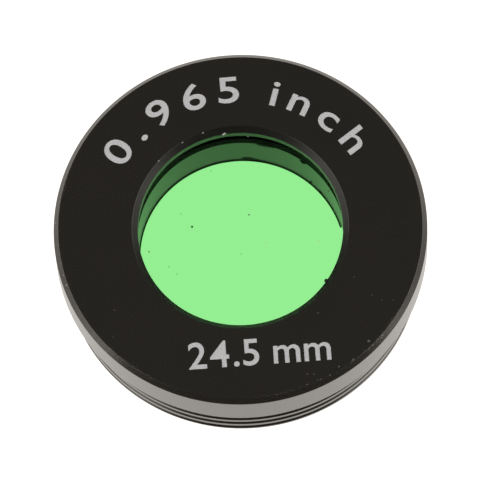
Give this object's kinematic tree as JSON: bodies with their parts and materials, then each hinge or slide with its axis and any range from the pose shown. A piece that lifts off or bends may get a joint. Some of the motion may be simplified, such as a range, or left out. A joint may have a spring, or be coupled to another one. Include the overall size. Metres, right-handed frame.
{
  "type": "nebula filter",
  "caption": "Small eyepiece filter: a round green glass in a turned black cell with a flat face, a threaded stub behind and a slotted retaining ring.",
  "frame": {"origin": "centre of the flat end of the threaded stub, which the filter stands on", "axes": "+Z along the optical axis, out of the flat engraved face; +X to the right as the face is read. The two slots of the retaining ring lie 8 degrees anticlockwise from +X and from -X, seen from the face."},
  "size_m": [0.024, 0.024, 0.0068],
  "materials": {
    "cell_anodise": "black anodised, semi-gloss",
    "green_glass": "polished and coated",
    "ring_anodise": "black anodised, semi-gloss"
  },
  "bodies": {
    "root": {"filter_cell": "cell_anodise", "filter_glass": "green_glass", "retaining_ring": "ring_anodise"}
  },
  "joints": []
}
